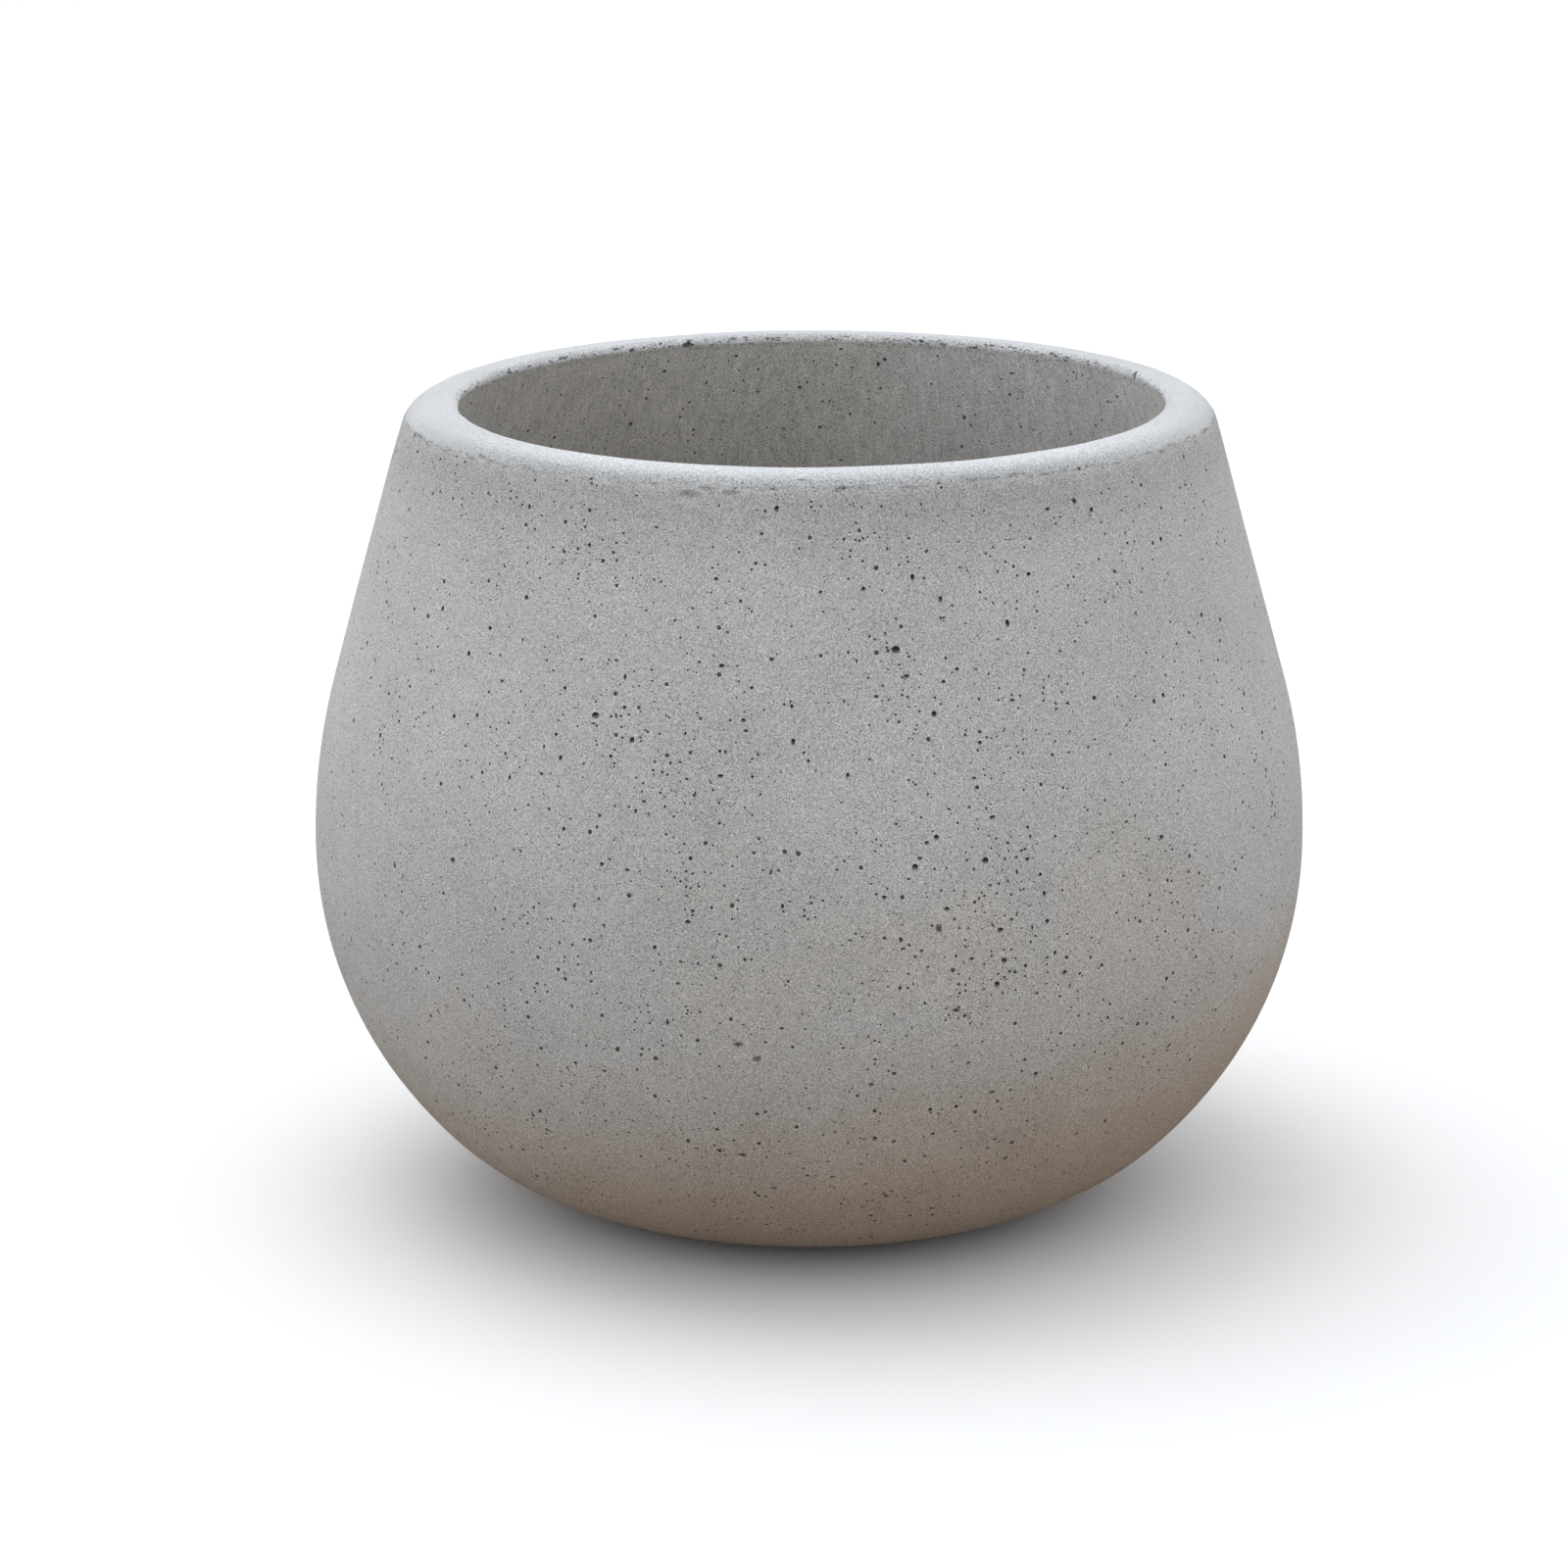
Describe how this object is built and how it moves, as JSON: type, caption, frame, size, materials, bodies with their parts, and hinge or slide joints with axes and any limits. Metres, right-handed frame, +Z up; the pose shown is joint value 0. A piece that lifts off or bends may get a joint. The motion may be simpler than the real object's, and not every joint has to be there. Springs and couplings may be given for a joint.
{
  "type": "bowl planter",
  "caption": "Pot-bellied cast concrete planter with a narrower round mouth and rounded rim, on rubber pads, with a rubber stopper in the drain hole of its floor.",
  "frame": {"origin": "on the ground, under the middle of the bowl", "axes": "+Z up along the bowl's axis of revolution; X and Y level, with one pad in each quarter between them"},
  "size_m": [0.5, 0.5, 0.408],
  "materials": {
    "concrete": "cast, matt, with fine pores",
    "plug_rubber": "moulded, matt",
    "pad_rubber": "matt"
  },
  "bodies": {
    "bowl": {"bowl_shell": "concrete", "foot_pad_1": "pad_rubber", "foot_pad_2": "pad_rubber", "foot_pad_3": "pad_rubber", "foot_pad_4": "pad_rubber"},
    "plug": {"drain_plug": "plug_rubber"}
  },
  "joints": [
    {"name": "plug_lift", "type": "slide", "parent": "bowl", "child": "plug", "axis": [0, 0, 1], "range_m": [0, 0.42]}
  ]
}
